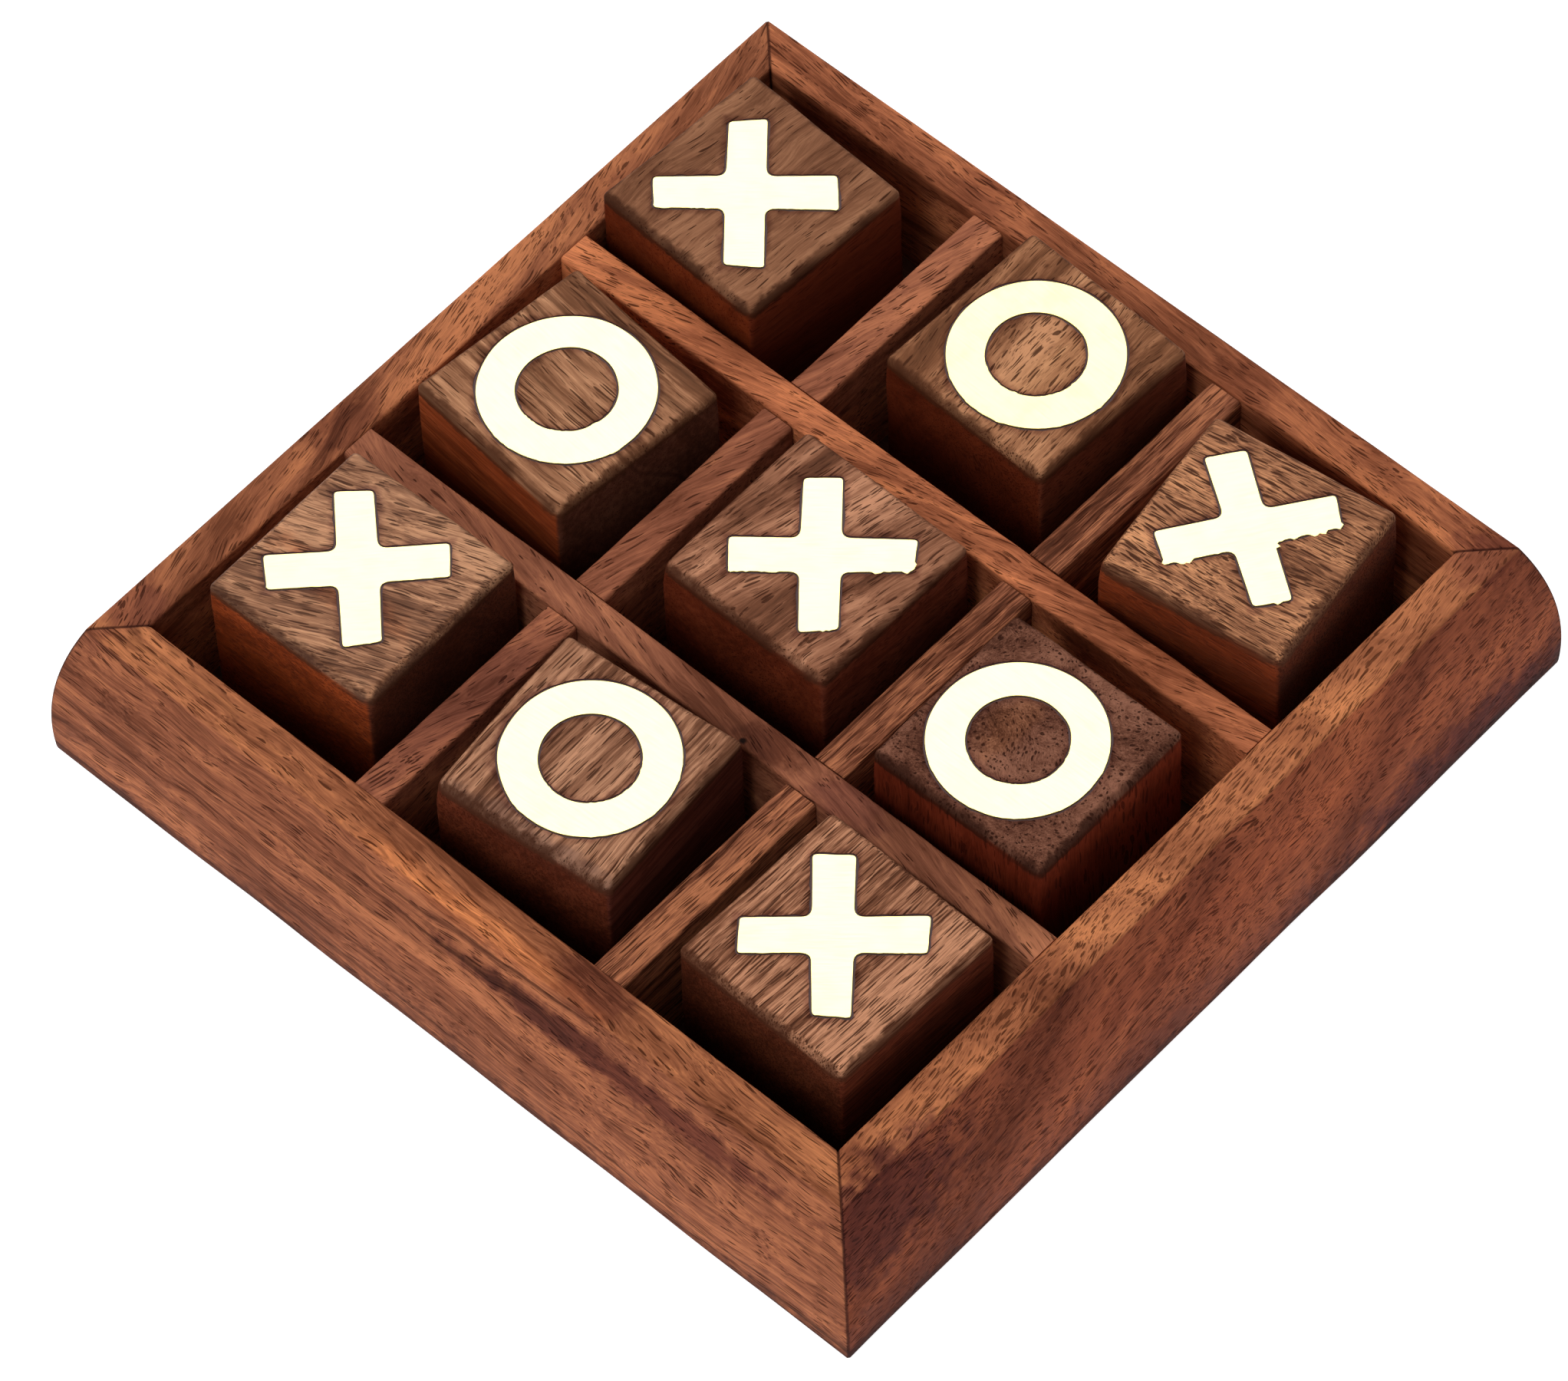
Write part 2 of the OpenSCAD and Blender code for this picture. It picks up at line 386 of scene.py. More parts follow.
def rubbed_and_shaded_block(n, spot, colour, plain_colour, wobble, look):
    """A block's top keeps the bare sanded colour, with old glue and painted shade round its inlay. Its sides
    are smooth and deep with oil and painted shade, the shade deepest low down and on the right, and its top
    edges are dark with wear and painted shade, most on the right and in front."""
    half, half_height, side_shade_tint, right_shade_tint, worn_and_shaded_tint = look["top"]
    # Old glue round the inlay, with painted shade in the same dark band.
    glue_and_shade_tint = (0.56, 0.47, 0.5, 1)
    glue_and_shade_reach = 1.1
    wear_and_shade = 0.85
    parts = n.add("SeparateXYZ", {0: spot}).outputs
    shake = n.math("MULTIPLY", n.math("SUBTRACT", wobble, 0.5), 2.2)
    beside = n.math("ADD", beside_mark(n, spot, look["mark"]), shake)
    glued_and_shaded = n.mix(1.0, colour, glue_and_shade_tint, blend="MULTIPLY")
    colour = n.mix(n.step(beside, 0.1, glue_and_shade_reach, 0.9, 0.0), colour, glued_and_shaded)

    # Sides: the oil's colour, with painted shade from the side tint.
    oiled_and_shaded = n.mix(1.0, n.mix(0.4, colour, plain_colour), side_shade_tint, blend="MULTIPLY")
    # Painted shade: the sides get darker towards the bottom.
    low_shade = n.step(parts[2], -half_height * 0.4, half_height, 0.56, 1.02)
    oiled_and_shaded = n.mix(1.0, oiled_and_shaded, n.add("CombineXYZ", {0: low_shade, 1: low_shade, 2: low_shade}).outputs[0], blend="MULTIPLY")
    # Painted shade: the right sides are multiplied by the right tint.
    to_right = n.step(n.math("SUBTRACT", parts[0], n.math("ABSOLUTE", parts[1])), -0.6, 0.2)
    oiled_and_shaded = n.mix(to_right, oiled_and_shaded, n.mix(1.0, oiled_and_shaded, right_shade_tint, blend="MULTIPLY"))

    # Top edges: wear, with painted shade on the rounded edges, most on the right and in front.
    handled = n.math("MAXIMUM", parts[0], n.math("MULTIPLY", parts[1], -1.0))
    other = n.math("MAXIMUM", n.math("ABSOLUTE", parts[0]), n.math("ABSOLUTE", parts[1]))
    outward = n.math("ADD", n.math("MAXIMUM", handled, n.math("SUBTRACT", other, 0.5)), shake)
    upward = n.math("ADD", parts[2], shake)
    on_top = n.step(parts[2], half_height - 1.2, half_height - 0.6)
    patchy = n.step(n.noise(spot, scale=0.14, detail=2.0)[0], 0.35, 0.6, wear_and_shade * 0.45, wear_and_shade)
    arris = n.math("MULTIPLY", n.step(outward, half - 1.3, half - 0.5),
                   n.step(upward, half_height - 1.9, half_height - 1.4))
    return n.mix(n.math("MULTIPLY", arris, patchy), n.mix(on_top, oiled_and_shaded, colour), worn_and_shaded_tint)


def wood(name, colour, axes, **changes):
    """Open-grained rosewood. Its coordinates come with the mesh, so the figure runs through the piece."""
    look = {**WOOD, **changes}
    n = Nodes(name)
    spot = n.add("Attribute", attribute_name="spot").outputs["Vector"]
    grain = n.add("Attribute", attribute_name="grain").outputs["Vector"]
    for centre, radius, strength in look["knots"]:
        grain = swirl(n, grain, axes @ Vector(centre), radius, strength)
    lines, slow = stray(n, grain, look["wander"])
    layers, veins = growth(n, lines, look)
    fine = 1 / look["streak_width"]
    streaks = n.noise(n.vector("MULTIPLY", lines, (0.035, fine, fine)), detail=2.0, roughness=0.6)[0]
    fibres = n.noise(n.vector("MULTIPLY", lines, (0.25, 5.0, 5.0)), detail=2.0, roughness=0.65)[0]
    tone = 0.5
    for share, part in (("bands", layers), ("streaks", streaks), ("fibres", fibres), ("drift", slow)):
        tone = n.math("MULTIPLY_ADD", n.math("SUBTRACT", part, 0.5), look[share], tone)
    tones = shades(colour, look["light"])
    tinted = n.ramp(tone, tones)
    if veins:
        tinted = n.mix(n.math("MULTIPLY", veins, look["veins"]), tinted, tones[0][1])
    vessels = open_pores(n, lines, slow, look)
    pore_colour = tuple(c * p for c, p in zip(colour, (0.17, 0.13, 0.12))) + (1.0,)
    tinted = n.mix(n.math("MULTIPLY", vessels, look["pores"]), tinted, pore_colour)
    ticks = open_pores(n, lines, slow, look, finer=1.7)
    tinted = n.mix(n.math("MULTIPLY", ticks, look["ticks"]), tinted, pore_colour)
    wobble = n.noise(spot, scale=0.45, detail=3.0, roughness=0.6)[0]
    for stain in look["stains"]:
        tinted = stained_and_shaded(n, spot, tinted, stain, wobble)
    if look["outside"]:
        tinted = rail_marks(n, spot, tinted, look["outside"])
    if look["top"]:
        tinted = rubbed_and_shaded_block(n, spot, tinted, colour, wobble, look)
    height = n.math("MULTIPLY_ADD", fibres, 0.5, n.math("MULTIPLY", vessels, -1.0))
    bump = n.add("Bump", {"Strength": 0.7, "Distance": look["relief"] * MM, "Height": height})
    gloss = n.math("MULTIPLY_ADD", n.math("SUBTRACT", wobble, 0.5), 0.3,
                   n.math("MULTIPLY_ADD", vessels, 0.2, look["rough"]))
    shader = n.add("BsdfPrincipled", {"Base Color": tinted, "Roughness": gloss, "Normal": bump.outputs[0],
                                      "Specular IOR Level": look["shine"]})
    return n.finish(shader)


def old_glue():
    """Dark mottled glue in the gap round an inlay."""
    n = Nodes("old glue")
    where = n.add("TexCoord").outputs["Object"]
    mottle = n.noise(where, scale=900.0, detail=3.0)[0]
    colour = rgb(74, 36, 38)
    darker = tuple(c * 0.6 for c in colour[:3]) + (1.0,)
    shader = n.add("BsdfPrincipled", {"Base Color": n.mix(mottle, darker, colour), "Roughness": 0.6})
    return n.finish(shader)


def brass(name, dull, bright):
    """Brass filed flush and lightly polished, with faint file strokes and cloudy patches of two tones."""
    n = Nodes(name)
    grain = n.add("Attribute", attribute_name="grain").outputs["Vector"]
    strokes = n.noise(n.vector("MULTIPLY", grain, (0.25, 5.0, 5.0)), detail=3.0, roughness=0.6)[0]
    clouds = n.noise(grain, scale=0.3, detail=3.0)[0]
    colour = n.mix(n.step(clouds, 0.3, 0.6), dull, bright)
    height = n.math("MULTIPLY_ADD", clouds, 0.2, n.math("MULTIPLY", strokes, 0.3))
    bump = n.add("Bump", {"Strength": 0.2, "Distance": 0.03 * MM, "Height": height})
    gloss = n.math("MULTIPLY_ADD", n.math("SUBTRACT", strokes, 0.5), 0.3, 0.34)
    shader = n.add("BsdfPrincipled", {"Base Color": colour, "Metallic": 1.0, "Roughness": gloss,
                                      "Normal": bump.outputs[0]})
    return n.finish(shader)


def base_panel_wood():
    """Thin plywood, stained dark on top like the tray and bare below; the dark top also paints part of the
    shade in the cells.
    """
    n = Nodes("base plywood")
    where = n.vector("MULTIPLY", n.add("TexCoord").outputs["Object"], (1 / MM, 1 / MM, 1 / MM))
    along = n.vector("MULTIPLY", where, (0.03, 0.9, 0.9))
    streaks = n.noise(along, detail=4.0, roughness=0.6, distortion=0.4)[0]
    specks = n.noise(n.vector("MULTIPLY", where, (0.5, 6.0, 6.0)), detail=2.0)[0]
    bare = n.ramp(streaks, [(0.25, rgb(150, 108, 70)), (0.5, rgb(184, 140, 96)), (0.75, rgb(205, 165, 120))])
    # The dark stained top, partly painted shade in the cells.
    stained_and_shaded = n.ramp(streaks, [(0.25, rgb(40, 19, 12)), (0.5, rgb(58, 29, 19)), (0.75, rgb(78, 41, 27))])
    facing = n.add("SeparateXYZ", {0: n.add("NewGeometry").outputs["Normal"]}).outputs[2]
    colour = n.mix(n.step(facing, 0.4, 0.6), bare, stained_and_shaded)
    colour = n.mix(n.step(specks, 0.62, 0.75, 0.0, 0.5), colour, rgb(70, 42, 26))
    bump = n.add("Bump", {"Strength": 0.5, "Distance": 0.08 * MM, "Height": streaks})
    shader = n.add("BsdfPrincipled", {"Base Color": colour, "Roughness": 0.62, "Normal": bump.outputs[0],
                                      "Specular IOR Level": 0.04})
    return n.finish(shader)


def pin_steel():
    """Bright drawn steel with a little tarnish."""
    n = Nodes("pin steel")
    where = n.add("TexCoord").outputs["Object"]
    tarnish = n.noise(where, scale=1500.0, detail=3.0)[0]
    colour = n.mix(n.step(tarnish, 0.45, 0.7), rgb(176, 174, 170), rgb(120, 104, 88))
    gloss = n.math("MULTIPLY_ADD", tarnish, 0.3, 0.25)
    shader = n.add("BsdfPrincipled", {"Base Color": colour, "Metallic": 1.0, "Roughness": gloss})
    return n.finish(shader)


# ---- Outlines ----

def arc(centre, radius, start, end, steps):
    """Points of an arc, from one angle to the other in degrees, both ends included."""
    turns = [math.radians(start + (end - start) * i / steps) for i in range(steps + 1)]
    return [Vector((centre[0] + radius * math.cos(a), centre[1] + radius * math.sin(a))) for a in turns]


def spread_line(a, b, steps):
    """Points along a straight stretch, without its ends."""
    return [a.lerp(b, i / steps) for i in range(1, steps)]


# ---- Rails ----

# A rail's outer side is one arc, widest at SWELL_Z and ending at the rim.
RISE = TOP - SWELL_Z
SWELL = OUTER - RIM
SWELL_R = (RISE * RISE + SWELL * SWELL) / (2 * SWELL)
SWELL_X = OUTER - SWELL_R


def rail_section(foot_r, outer_r, inner_r):
    """Outline of a rail as distance from the tray's middle and height, from the rebate round by the outside.
    The radii are those of the foot, the outer arris and the inner arris."""
    drop = SWELL_Z - foot_r
    foot_x = SWELL_X + math.sqrt((SWELL_R - foot_r) ** 2 - drop ** 2)
    foot_end = math.degrees(math.asin(-drop / (SWELL_R - foot_r)))
    points = [Vector((REBATE, 0.0))] + arc((foot_x, foot_r), foot_r, -90, foot_end, 6)
    rim_turn = math.degrees(math.asin((TOP - outer_r - SWELL_Z) / (SWELL_R - outer_r)))
    rim_x = SWELL_X + (SWELL_R - outer_r) * math.cos(math.radians(rim_turn))
    points += arc((SWELL_X, SWELL_Z), SWELL_R, foot_end, rim_turn, 24)[1:-1]
    points += arc((rim_x, TOP - outer_r), outer_r, rim_turn, 90, 5)
    inner_start = Vector((INNER + inner_r, TOP))
    points += spread_line(points[-1], inner_start, 5)
    points += arc((INNER + inner_r, TOP - inner_r), inner_r, 90, 180, 4)
    shoulder = Vector((INNER, CELL_FLOOR))
    points += spread_line(points[-1], shoulder, 8)
    points += [shoulder, Vector((REBATE, CELL_FLOOR))]
    return points


def shrink(points, by):
    """Moves an outline inwards by a distance, along its own normals."""
    moved = []
    for i, p in enumerate(points):
        tangent = (points[(i + 1) % len(points)] - points[i - 1]).normalized()
        moved.append(p + Vector((-tangent.y, tangent.x)) * by)
    return moved


def rail(name, side, seed, wood_axes, colour, **look):
    """One mitred rail, side quarter turns round from the right one. Each ring of its mesh lies where length
    over distance from the middle is the same, so that the first and last rings lie in the mitres. groove says
    how far its surface is drawn in at some distances from a mitre."""
    groove = {0.0: 0.13, 0.12: 0.05, 0.3: 0.0}
    steps = 72
    places = [(1 - d / OUTER, g) for d, g in groove.items()]
    places += [(1 - (i + 1) * 2 / (steps + 2), 0.0) for i in range(steps + 1)]
    places += [(-1 + d / OUTER, g) for d, g in sorted(groove.items(), reverse=True)]
    rings = []
    for share, inset in places:
        at = Vector((share * OUTER, seed * 31.0, 0.0))
        foot_r = 1.5 + 0.8 * noise.noise(at / 17)
        outer_r = 0.55 + 0.3 * noise.noise(at / 9 + Vector((0, 0, 5)))
        inner_r = 0.4 + 0.2 * noise.noise(at / 7 + Vector((0, 0, 9)))
        outline = shrink(rail_section(foot_r, outer_r, inner_r), inset)
        rings.append([Vector((p.x, share * p.x, p.y)) for p in outline])
    bm = bmesh.new()
    loft(bm, rings)
    tidy(bm)
    made = as_object(name + "_wood", bm)
    turn = Matrix.Rotation(side * math.pi / 2, 4, "Z")
    material = wood(name + " wood", colour, wood_axes, **look)
    return set_piece(made, "tray", [name], turn, wood_axes, [material], sharp=28)


# ---- Dividers ----

# Gap left all round in a divider's joints.
JOINT_GAP = 0.06


def divider_places(end):
    """Places of a divider's rings along it, and whether each of them lies in a halving joint. At each wall of
    a joint two rings lie almost on each other, which makes the wall upright."""
    spacing = 1.8
    keep_off = 0.4
    hair = 0.0001
    half_slot = DIVIDER_HALF + JOINT_GAP
    joints = (-DIVIDER_AT, DIVIDER_AT)
    count = int(2 * end / spacing)
    places = [-end + 2 * end * i / count for i in range(count)] + [end]
    walls = [joint + w for joint in joints for w in (-half_slot, half_slot)]
    free = [x for x in places if min(abs(x - w) for w in walls) > keep_off]
    rows = [(x, any(abs(x - joint) < half_slot for joint in joints)) for x in free]
    for joint in joints:
        rows += [(joint - half_slot - hair, False), (joint - half_slot, True)]
        rows += [(joint + half_slot, True), (joint + half_slot + hair, False)]
    return sorted(rows)


def divider_section(half, top, edge):
    """Outline of a divider as distance from its middle plane and height, its top edges rounded."""
    over = arc((half - edge, top - edge), edge, 0, 90, 4)
    section = [(half, CELL_FLOOR), (half, HALVING)] + [tuple(p) for p in over] + [(0.0, top)]
    return section + [(-y, z) for y, z in reversed(section[:-1])]


def divider(name, along, at, top, slots_below, seed, wood_axes, colour, **look):
    """A divider strip with softened top edges, halved from below or from above where the others cross it.
    along is 'X' or 'Y', at is its place on the other axis."""
    rings = []
    for x, in_slot in divider_places(INNER - JOINT_GAP):
        spot = Vector((x, seed * 17.0, 0))
        half = DIVIDER_HALF - 0.08 * (1 + noise.noise(spot / 12))
        edge = 0.45 + 0.22 * noise.noise(spot / 6 + Vector((0, 0, 3)))
        ring_top = top - 0.05 * (1 + noise.noise(spot / 15 + Vector((0, 0, 7))))
        ring = []
        for y, z in divider_section(half, ring_top, edge):
            if in_slot:
                z = max(z, HALVING) if slots_below else min(z, HALVING)
            ring.append(Vector((x, y, z)))
        rings.append(ring)
    bm = bmesh.new()
    loft(bm, rings)
    tidy(bm)
    made = as_object(name + "_wood", bm)
    place = Matrix.Translation((0, at, 0))
    if along == "Y":
        place = Matrix.Rotation(math.pi / 2, 4, "Z") @ Matrix.Translation((0, -at, 0))
    material = wood(name + " wood", colour, wood_axes, **look)
    return set_piece(made, "tray", [name], place, wood_axes, [material], sharp=30)


# ---- Blocks and inlays ----

def edge_steps(half, radius):
    """Places along a block's side, close together where its edges are rounded."""
    fine, coarse = 9, 14
    reach = 2.4 * radius
    near = [half - reach * i / fine for i in range(fine)]
    inside = half - reach
    flat = [inside - 2 * inside * i / coarse for i in range(coarse + 1)]
    return near + flat + [-v for v in reversed(near)]


def rounded_block(side, height, wear):
    """A cube of wood standing on z = 0, with edges rubbed to a radius that wear(point) gives. Each face is a
    grid, and each of its points is pulled in to that distance from the cube's core."""
    half = Vector((side / 2, side / 2, height / 2))
    bm = bmesh.new()
    steps = edge_steps(1.0, 0.09)
    for axis in range(3):
        for sign in (-1, 1):
            rows = []
            for a in steps:
                row = []
                for b in steps:
                    p = Vector((0, 0, 0))
                    p[axis], p[(axis + 1) % 3], p[(axis + 2) % 3] = sign, a, b
                    p = Vector(p[i] * half[i] for i in range(3))
                    radius = wear(p)
                    core = Vector(max(-half[i] + radius, min(half[i] - radius, p[i])) for i in range(3))
                    out = p - core
                    row.append(bm.verts.new(core + out.normalized() * radius + Vector((0, 0, half.z))))
                rows.append(row)
            for r0, r1 in zip(rows, rows[1:]):
                for i in range(len(r0) - 1):
                    bm.faces.new((r0[i], r0[i + 1], r1[i + 1], r1[i]))
    tidy(bm)
    return bm


def soften(points, passes=2):
    """Averages each point of a closed outline with its neighbours, which rounds its corners a little."""
    for _ in range(passes):
        points = [(points[i - 1] + 2 * p + points[(i + 1) % len(points)]) / 4 for i, p in enumerate(points)]
    return points


def subdivide(points, step):
    """Adds points to a closed outline so that no stretch is longer than step."""
    out = []
    for i, p in enumerate(points):
        q = points[(i + 1) % len(points)]
        count = max(1, round((q - p).length / step))
        out += [p.lerp(q, k / count) for k in range(count)]
    return out


def cross_outline(arm_l, arm_w, rng):
    """A hand-cut cross with arms along X and Y, each a little uneven, and inner corners filed round."""
    fillet = 0.9
    half = arm_w / 2
    points = []
    for quarter in range(4):
        turn = Matrix.Rotation(quarter * math.pi / 2, 2)
        root = arc((half + fillet, -half - fillet), fillet, 180, 90, 4)
        length = arm_l + rng.uniform(-0.25, 0.2)
        skew = rng.uniform(-0.25, 0.25)
        low = -half + rng.uniform(-0.15, 0.2)
        high = half + rng.uniform(-0.2, 0.15)
        tip = [Vector((length - skew, low)), Vector((length + skew, high))]
        points += [turn @ p for p in root + tip]
    points = subdivide(points, 0.35)
    shift = Vector((rng.uniform(0, 90), rng.uniform(0, 90), 0))
    shaken = []
    for p in points:
        where = Vector((p.x, p.y, 0)) + shift
        broad = p * (1 + 0.006 * noise.noise(where * 0.9))
        shaken.append(broad + p.normalized() * 0.035 * noise.noise(where * 2.6))
    return soften(shaken)


def ring_outline(radius, count, rng):
    """A hand-cut circle with a few shallow flats left by the saw and the file."""
    waves = [(k, rng.uniform(0.0, 0.11) / k, rng.uniform(0, 2 * math.pi)) for k in range(2, 11)]
    points = []
    for i in range(count):
        a = 2 * math.pi * i / count
        r = radius + sum(size * math.cos(k * a + phase) for k, size, phase in waves)
        points.append(Vector((r * math.cos(a), r * math.sin(a))))
    return points


def raised(outline, z):
    """A flat outline at a height."""
    return [Vector((p.x, p.y, z)) for p in outline]


def grown(points, amounts):
    """Moves each point of an outline outwards by its own amount."""
    moved = []
    for i, p in enumerate(points):
        tangent = (points[(i + 1) % len(points)] - points[i - 1]).normalized()
        moved.append(p + Vector((tangent.y, -tangent.x)) * amounts[i])
    return moved


def plate(bm, outer, inner, levels):
    """A flat shape with upright walls, made of levels of (height, how far its outline is moved out there).
    The amounts may be one number or one for each point. inner is the outline of its hole, or None."""
    def at(outline, sign):
        rings = []
        for z, amount in levels:
            amounts = amount if isinstance(amount, list) else [amount] * len(outline)
            rings.append(raised(grown(outline, [sign * a for a in amounts]), z))
        return rings
    if inner:
        loft(bm, at(outer, 1) + list(reversed(at(inner, -1))), closed=True)
    else:
        loft(bm, at(outer, 1))


def mark_place(name, centre):
    """A mark read from its CAD mesh: its middle seen from its block's middle, its turn, its outer and inner
    reach, and the points of one arm's tip."""
    low, high = node_box(name)
    middle = (low + high) / 2
    points = [p - middle for p in node_points(name)]
    far = max(p.to_2d().length for p in points)
    tips = [p for p in points if p.to_2d().length > far - NEAR and p.x > 0 and p.y > 0 and p.z > 0]
    turn = sum(math.atan2(p.y, p.x) for p in tips) / len(tips) - math.pi / 4
    return (middle - centre).to_2d(), turn, far, min(p.to_2d().length for p in points), tips


def worn_edges(side, seed, rub_side, rub_more):
    """How wide a block's edges are rubbed round: a little on its upright edges, unevenly round its top, and
    more towards rub_side."""
    rng = random.Random(seed)
    shift = Vector((rng.uniform(0, 50), rng.uniform(0, 50), rng.uniform(0, 50)))
    worst = Vector(rub_side).normalized()

    def wear(p):
        toward = max(0.0, p.dot(worst) / (side / 2) - 0.4)
        upper = min(1.0, max(0.0, abs(p.z) - side / 2 + 4) / 3)
        top_more = 0.3 + rub_more * min(1.0, toward)
        return max(0.35, 0.5 + 0.35 * noise.noise((p + shift) / 8) + upper * top_more)
    return wear


# Depth of the pocket cut for an inlay, and how far the wood's top lies below the brass.
POCKET = 1.2
PROUD = 0.05


def inlay_shape(inlay, centre, turn, rng):
    """A cross's or a ring's outline, the outline of its hole or None, and its mark: middle, turn, reach and
    half width as they are on the block, and whether it is a cross."""
    offset, mark_turn, far, near, tips = mark_place(inlay, centre)
    middle = tuple((Matrix.Rotation(-turn, 2) @ offset).to_3d())
    if inlay.startswith("cross"):
        arm_w = (tips[0] - tips[-1]).to_2d().length
        arm_l = math.sqrt(far * far - arm_w * arm_w / 4)
        spin = mark_turn - turn + math.pi / 4
        return cross_outline(arm_l, arm_w, rng), None, (middle, spin, arm_l, arm_w / 2, True)
    outline = ring_outline(far, 160, rng)
    hole = ring_outline(near, 160, rng)
    return outline, hole, (middle, 0.0, far, (far - near) / 2, False)


def pocket_cutter(outline, hole, wood_top, on_block, seed):
    """The shape that cuts an inlay's pocket. Just below the surface it widens to an uneven gap for glue."""
    glue_depth = 0.12
    snug = 0.02
    gaps = [0.27 + 0.15 * noise.noise(Vector((p.x, p.y, seed)) * 0.8) for p in outline]
    bm = bmesh.new()
    plate(bm, outline, hole, [(wood_top - POCKET, snug), (wood_top - glue_depth, snug),
                              (wood_top - glue_depth, gaps), (wood_top + 1, gaps)])
    bmesh.ops.recalc_face_normals(bm, faces=bm.faces)
    bm.transform(on_block)
    return as_object("cutter", bm)


def brass_mark(name, outline, hole, height, burrs):
    """The brass of an inlay, standing a hair proud of the wood, with burrs that bend out over the wood."""
    wood_top = height - PROUD
    edge = 0.04
    drawn_in = [b * 0.8 - edge for b in burrs]
    bm = bmesh.new()
    levels = [(wood_top - POCKET + 0.05, 0.0), (wood_top + 0.004, 0.0), (wood_top + 0.008, burrs)]
    plate(bm, outline, hole, levels + [(height - 0.02, burrs), (height, drawn_in)])
    tidy(bm)
    return as_object(name + "_brass", bm)


def carve(wooden, cutter):
    """Cuts the inlay's pocket into a block and leaves the result in the block's own mesh."""
    cut = wooden.modifiers.new("pocket", "BOOLEAN")
    cut.operation = "DIFFERENCE"
    cut.solver = "EXACT"
    cut.object = cutter
    # The first slot is the wood's, which set_piece fills later, and the cutter's faces keep the second.
    for made in (wooden, cutter):
        made.data.materials.append(GLUE)
        made.data.materials.append(GLUE)
    cutter.data.polygons.foreach_set("material_index", [1] * len(cutter.data.polygons))
    depsgraph = bpy.context.evaluated_depsgraph_get()
    carved = bpy.data.meshes.new_from_object(wooden.evaluated_get(depsgraph), depsgraph=depsgraph)
    wooden.modifiers.clear()
    wooden.data = carved
    bpy.data.objects.remove(cutter)


def ragged(outline, amount, spin, rng):
    """How far burrs stand out round an outline: on the sides that face a block's lower right corner,
    in broken stretches. spin is the outline's own turn on the block."""
    burr_side = Matrix.Rotation(-spin, 2) @ Vector((1, -1)).normalized()
    shift = rng.uniform(0, 99)
    out = []
    for i, p in enumerate(outline):
        tangent = (outline[(i + 1) % len(outline)] - outline[i - 1]).normalized()
        facing = Vector((tangent.y, -tangent.x)).dot(burr_side)
        stretch = noise.noise(Vector((p.x * 0.35 + shift, p.y * 0.35, 0)))
        broad = noise.noise(Vector((p.x * 0.9, p.y * 0.9, shift)))
        sharp = noise.noise(Vector((p.x * 2.9, p.y * 2.9, shift + 7)))
        spike = max(0.0, 0.12 + broad + 0.7 * sharp)
        out.append(amount * spike if facing > 0.2 and stretch > -0.15 else 0.0)
    return out


def block(name, grain_turn, seed, colour, rub_side=(1, -1, 0.6), rub_more=0.5, burr=0.12, end_up=False,
          side_shade_tint=(0.62, 0.26, 0.14), right_shade_tint=(1, 1, 1), metal=None, **look):
    """A wooden block with a real pocket in its top, and the brass mark that lies in it.
    grain_turn is the grain's direction on its top, in degrees; end_up stands the grain on end."""
    inlay = BLOCKS[name]
    centre, side, height, turn = block_place(name)
    rng = random.Random(seed)
    wood_top = height - PROUD
    edges = worn_edges(side, seed, rub_side, rub_more)
    wooden = as_object(name + "_wood", rounded_block(side, wood_top, edges))
    outline, hole, mark = inlay_shape(inlay, centre, turn, rng)
    middle, spin = mark[:2]
    on_block = Matrix.Translation(middle) @ Matrix.Rotation(spin, 4, "Z")
    carve(wooden, pocket_cutter(outline, hole, wood_top, on_block, seed))

    place = Matrix.Translation(centre) @ Matrix.Rotation(turn, 4, "Z")
    grain = math.radians(grain_turn)
    along = (0, 0, 1) if end_up else (math.cos(grain), math.sin(grain), 0)
    axes = wood_space(along, offset=(seed * 61.0, seed * 7.0, seed * 3.0))
    # Dark tint of the top edges: wear and painted shade.
    worn_and_shaded_tint = tuple(c * s for c, s in zip(colour, (0.19, 0.14, 0.12))) + (1.0,)
    look = {"light": (1.55, 1.7, 1.75), "shine": 0.03, **look}
    look["top"] = (side / 2, height / 2, side_shade_tint + (1.0,), right_shade_tint + (1.0,), worn_and_shaded_tint)
    look["mark"] = mark
    material = wood(name + " wood", colour, axes, **look)
    keep = [f.material_index for f in wooden.data.polygons]
    set_piece(wooden, name, [name], place, axes, [material, GLUE], 40, (0, 0, height / 2))
    wooden.data.polygons.foreach_set("material_index", keep)

    brass_piece = brass_mark(name, outline, hole, height, ragged(outline, burr, spin, rng))
    strokes = wood_space(ALONG, offset=(seed * 13.0, 0, 0))
    set_piece(brass_piece, name, [inlay], place @ on_block, strokes, [metal or BRASS], 6)


# ---- The pieces, one by one ----

GLUE = old_glue()
BRASS = brass("inlay brass", rgb(250, 230, 156), rgb(252, 234, 160))
YELLOW_BRASS = brass("yellow inlay brass", rgb(249, 226, 144), rgb(250, 228, 152))

# Direction of the grain: a rail lies along Y in its own millimetres, a divider along X.
LENGTHWISE = (0, 1, 0)
ALONG = (1, 0, 0)

# Tints of the patches on the wood: what its colour is multiplied by.
DIRT = (0.4, 0.32, 0.3)
PURPLE = (0.48, 0.38, 0.5)
BROWN = (0.6, 0.53, 0.55)
BRIGHT = (1.35, 1.4, 1.3)


def on_top(y, length, tint, strength):
    """A patch across the flat of a rail's top, y along the rail."""
    return (MID, y, TOP), (4.5, length, 3), tint, strength


# Painted shadow: the dark line along the foot of every rail.
FOOT_SHADOW = ((OUTER - 1, 0, 0), (8, 400, 3.5), (0.3, 0.24, 0.27), 0.9)
